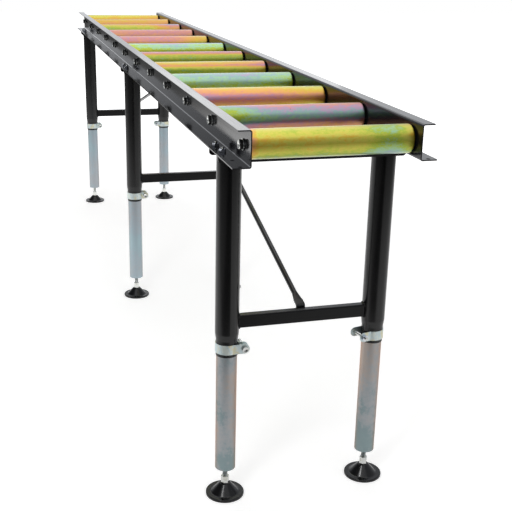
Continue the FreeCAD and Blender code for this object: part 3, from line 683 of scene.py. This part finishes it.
def layBead(builder, path):  # a closed rippled roll along the path
    count, sides = len(path), weld["sides"]
    loops = []
    travel = 0.0
    across = None
    for index in range(count):
        ahead = path[(index + 1) % count] - path[index]
        tangent = (path[(index + 1) % count] - path[index - 1]).normalized()
        if across is None:
            across = tangent.orthogonal().normalized()
        else:
            across = (across - tangent * across.dot(tangent)).normalized()
        upward = tangent.cross(across)
        radius = weld["bead"] * (1 + weld["ripple"] * math.sin(2 * math.pi * travel / weld["wave"]))
        loop = []
        for step in range(sides):
            angle = 2 * math.pi * step / sides
            spot = path[index] + (across * math.cos(angle) + upward * math.sin(angle)) * radius
            loop.append(builder.verts.new(spot))
        loops.append(loop)
        travel += ahead.length
    for index in range(count):
        first, second = loops[index], loops[(index + 1) % count]
        for step in range(sides):
            follow = (step + 1) % sides
            builder.faces.new((first[step], first[follow], second[follow], second[step]))


def squared(value):  # a cosine or sine bent towards the side of a rounded square
    return math.copysign(abs(value) ** weld["squareness"], value)


def makeWelds(row, x):
    builder = bmesh.new()
    for side in (-1, 1):
        legY = side * legPair["legY"]
        ring = []
        for step in range(weld["legSteps"]):
            angle = 2 * math.pi * step / weld["legSteps"]
            ringX, ringY = weld["leg"] * math.cos(angle), legY + weld["leg"] * math.sin(angle)
            ring.append(Vector((ringX, ringY, legPair["headUnder"])))
        layBead(builder, ring)
        joint = []
        for step in range(weld["barSteps"]):
            angle = 2 * math.pi * step / weld["barSteps"]
            flatX = squared(math.cos(angle)) * weld["barDepth"] / 2
            flatZ = squared(math.sin(angle)) * weld["barHeight"] / 2
            inward = legY - side * math.sqrt(weld["leg"] ** 2 - flatX ** 2)
            joint.append(Vector((flatX, inward, weld["barCentre"] + flatZ)))
        layBead(builder, joint)
    name = "legWelds_" + row
    setPieces(name, finishMesh(builder, name), [((x, 0, 0), (0, 0, 1))], "frame", legPaint)


for row, x in rowPlaces.items():
    makeWelds(row, x)
print("welds set")

# Studio: white paper all round and a wide soft light above, a small bright one over the camera, and one
# behind and out of sight for the flanges. Distances are in metres, light levels are parts of white.
lamps = {
    "softboxAbove": {"radiance": 0.88, "size": (8.4, 3.0), "spot": (-0.3, 0, 3.3), "aim": (-0.3, 0, 0)},
    "softboxFront": {"radiance": 16.0, "size": (0.5, 0.5), "spot": (2.66, -1.42, 2.6), "aim": (0.6, 0, 0.6)},
    "softboxBack": {"radiance": 0.8, "size": (2.0, 1.2), "spot": (-5.5, 1.7, 2.3), "aim": (0, 0.6, 0.9)},
}
# Matt paper on the floor. In reflections a dark stand lies across it towards the camera, between open
# strips on the left and right, and it fades far off, which gives the paint and the rollers their darks.
paperSweep = {
    "reach": 14, "colour": 0.8, "seen": 0.45, "seenStart": 1.5, "seenFull": 4.0,
    "stand": 0.05, "standWay": (0.9, -0.43, 0), "standStart": 1.90, "standFull": 2.12,
    "rightStart": 0.0, "rightFull": 0.5, "leftStart": -1.1, "leftFull": -1.5, "leftOpen": 0.4,
    "fade": 0.3, "fadeStart": 2.8, "fadeFull": 5.0,
    "glowBack": 0.6, "glowFront": 0.2, "backX": -0.4, "frontX": 1.7, "glowStart": 2.6, "glowEnd": 4.8,
}


def makePaper():
    reach = paperSweep["reach"]
    mesh = bpy.data.meshes.new("studioFloor")
    corners = [(-reach, -reach, 0), (reach, -reach, 0), (reach, reach, 0), (-reach, reach, 0)]
    mesh.from_pydata(corners, [], [(0, 1, 2, 3)])
    floor = bpy.data.objects.new("studioFloor", mesh)
    bpy.context.scene.collection.objects.link(floor)
    material, tree = newMaterial("paperSweepWhite")
    place = addNode(tree, "ShaderNodeTexCoord").outputs["Object"]
    axes = addNode(tree, "ShaderNodeSeparateXYZ", links={"Vector": place})
    away = addNode(tree, "ShaderNodeVectorMath", links={0: place}, operation="LENGTH").outputs["Value"]
    toward = addNode(tree, "ShaderNodeVectorMath", {1: paperSweep["standWay"]}, {0: place},
                     operation="DOT_PRODUCT")
    front = addNode(tree, "ShaderNodeMapRange",
                    {"From Min": paperSweep["standStart"], "From Max": paperSweep["standFull"],
                     "To Min": 1.0, "To Max": paperSweep["stand"]},
                    {"Value": toward.outputs["Value"]}, interpolation_type="SMOOTHSTEP")
    right = addNode(tree, "ShaderNodeMapRange",
                    {"From Min": paperSweep["rightStart"], "From Max": paperSweep["rightFull"]},
                    {"Value": axes.outputs["Y"]}, interpolation_type="SMOOTHSTEP")
    left = addNode(tree, "ShaderNodeMapRange",
                   {"From Min": paperSweep["leftFull"], "From Max": paperSweep["leftStart"],
                    "To Min": paperSweep["leftOpen"], "To Max": 0.0},
                   {"Value": axes.outputs["Y"]}, interpolation_type="SMOOTHSTEP")
    sides = addNode(tree, "ShaderNodeMath", links={0: left.outputs["Result"], 1: right.outputs["Result"]},
                    operation="MAXIMUM")
    dark = addNode(tree, "ShaderNodeMath", links={0: front.outputs["Result"], 1: sides.outputs["Value"]},
                   operation="MAXIMUM")
    dim = addNode(tree, "ShaderNodeMapRange",
                  {"From Min": paperSweep["fadeStart"], "From Max": paperSweep["fadeFull"],
                   "To Min": 1.0, "To Max": paperSweep["fade"]},
                  {"Value": away}, interpolation_type="SMOOTHSTEP")
    shade = addNode(tree, "ShaderNodeMath", links={0: dark.outputs["Value"], 1: dim.outputs["Result"]},
                    operation="MULTIPLY").outputs["Value"]
    path = addNode(tree, "ShaderNodeLightPath")
    shine = addNode(tree, "ShaderNodeMath",
                    links={0: path.outputs["Is Glossy Ray"], 1: path.outputs["Is Transmission Ray"]},
                    operation="MAXIMUM").outputs["Value"]
    bright = addNode(tree, "ShaderNodeMix", {"A": 1.0}, {"Factor": shine, "B": shade}, data_type="FLOAT")
    tone = addNode(tree, "ShaderNodeMath", {1: paperSweep["colour"]}, {0: bright.outputs["Result"]},
                   operation="MULTIPLY")
    near = addNode(tree, "ShaderNodeMapRange",
                   {"From Min": paperSweep["glowStart"], "From Max": paperSweep["glowEnd"],
                    "To Min": 1.0, "To Max": 0.0},
                   {"Value": away}, interpolation_type="SMOOTHSTEP")
    back = addNode(tree, "ShaderNodeMapRange",
                   {"From Min": paperSweep["backX"], "From Max": paperSweep["frontX"],
                    "To Min": paperSweep["glowBack"], "To Max": paperSweep["glowFront"]},
                   {"Value": axes.outputs["X"]}, interpolation_type="SMOOTHSTEP")
    strength = addNode(tree, "ShaderNodeMath", links={0: near.outputs["Result"], 1: back.outputs["Result"]},
                       operation="MULTIPLY")
    mirrored = addNode(tree, "ShaderNodeMath", links={0: strength.outputs["Value"], 1: shade},
                       operation="MULTIPLY")
    mirrorGlow = addNode(tree, "ShaderNodeMath", links={0: mirrored.outputs["Value"], 1: shine},
                         operation="MULTIPLY")
    far = addNode(tree, "ShaderNodeMapRange",
                  {"From Min": paperSweep["seenStart"], "From Max": paperSweep["seenFull"],
                   "To Min": paperSweep["seen"], "To Max": 1.0},
                  {"Value": away})
    power = addNode(tree, "ShaderNodeMath",
                    links={0: far.outputs["Result"], 1: path.outputs["Is Camera Ray"],
                           2: mirrorGlow.outputs["Value"]},
                    operation="MULTIPLY_ADD")
    matt = addNode(tree, "ShaderNodeBsdfDiffuse", links={"Color": tone.outputs["Value"]})
    lit = addNode(tree, "ShaderNodeEmission", {"Color": grey(1.0)}, {"Strength": power.outputs["Value"]})
    both = addNode(tree, "ShaderNodeAddShader", links={0: matt.outputs["BSDF"], 1: lit.outputs["Emission"]})
    closeMaterial(tree, both)
    mesh.materials.append(material)


# The room round the paper, white to the camera. In reflections it is brightest behind the part,
# and dim behind the camera and high on the left.
room = {
    "ambient": 0.45, "way": (0.97, -0.2, 0.1),
    "tones": ((0.025, "#F9FBFF"), (0.06, "#CCCFD4"), (0.45, "#B2B5BA")),
    "front": 0.25, "frontWay": (0.86, -0.5, 0.1), "frontStart": 0.55, "frontFull": 0.9,
    "left": 0.25, "leftWay": (-0.35, -0.71, 0.6), "leftStart": 0.7, "leftFull": 0.93,
}


def makeRoom():
    world = bpy.data.worlds.new("studioWorld")
    world.use_nodes = True
    tree = world.node_tree
    tree.nodes.clear()
    path = addNode(tree, "ShaderNodeLightPath")
    around = addNode(tree, "ShaderNodeTexCoord").outputs["Generated"]
    toward = addNode(tree, "ShaderNodeVectorMath", {1: Vector(room["way"]).normalized()}, {0: around},
                     operation="DOT_PRODUCT")
    lean = addNode(tree, "ShaderNodeMapRange", {"From Min": -1.0, "From Max": 1.0},
                   {"Value": toward.outputs["Value"]})
    walls = addNode(tree, "ShaderNodeValToRGB", links={"Fac": lean.outputs["Result"]},
                    stops=[(part, hexColour(code)) for part, code in room["tones"]])
    forward = addNode(tree, "ShaderNodeVectorMath", {1: Vector(room["frontWay"]).normalized()}, {0: around},
                      operation="DOT_PRODUCT")
    front = addNode(tree, "ShaderNodeMapRange",
                    {"From Min": room["frontStart"], "From Max": room["frontFull"],
                     "To Min": 1.0, "To Max": room["front"]},
                    {"Value": forward.outputs["Value"]}, interpolation_type="SMOOTHSTEP")
    leftward = addNode(tree, "ShaderNodeVectorMath", {1: Vector(room["leftWay"]).normalized()}, {0: around},
                       operation="DOT_PRODUCT")
    left = addNode(tree, "ShaderNodeMapRange",
                   {"From Min": room["leftStart"], "From Max": room["leftFull"],
                    "To Min": 1.0, "To Max": room["left"]},
                   {"Value": leftward.outputs["Value"]}, interpolation_type="SMOOTHSTEP")
    level = addNode(tree, "ShaderNodeMath", links={0: front.outputs["Result"], 1: left.outputs["Result"]},
                    operation="MULTIPLY")
    soft = addNode(tree, "ShaderNodeBackground", {"Color": grey(1.0), "Strength": room["ambient"]})
    mirrored = addNode(tree, "ShaderNodeBackground",
                       links={"Color": walls.outputs["Color"], "Strength": level.outputs["Value"]})
    plain = addNode(tree, "ShaderNodeBackground", {"Color": grey(1.0), "Strength": 1.0})
    shine = addNode(tree, "ShaderNodeMath",
                    links={0: path.outputs["Is Glossy Ray"], 1: path.outputs["Is Transmission Ray"]},
                    operation="MAXIMUM")
    lit = addNode(tree, "ShaderNodeMixShader",
                  links={0: shine.outputs["Value"], 1: soft.outputs["Background"],
                         2: mirrored.outputs["Background"]})
    seen = addNode(tree, "ShaderNodeMixShader",
                   links={0: path.outputs["Is Camera Ray"], 1: lit.outputs["Shader"],
                          2: plain.outputs["Background"]})
    addNode(tree, "ShaderNodeOutputWorld", links={"Surface": seen.outputs["Shader"]})
    bpy.context.scene.world = world


def hangLamps():
    for name, lamp in lamps.items():
        width, depth = lamp["size"]
        data = bpy.data.lights.new(name, "AREA")
        data.shape = "RECTANGLE"
        data.size, data.size_y = width, depth
        data.energy = lamp["radiance"] * math.pi * width * depth
        box = bpy.data.objects.new(name, data)
        box.location = lamp["spot"]
        aim = Vector(lamp["aim"]) - Vector(lamp["spot"])
        box.rotation_euler = aim.to_track_quat("-Z", "Y").to_euler()
        bpy.context.scene.collection.objects.link(box)


makePaper()
makeRoom()
hangLamps()
bpy.context.scene.view_settings.view_transform = "Standard"
print("studio set")
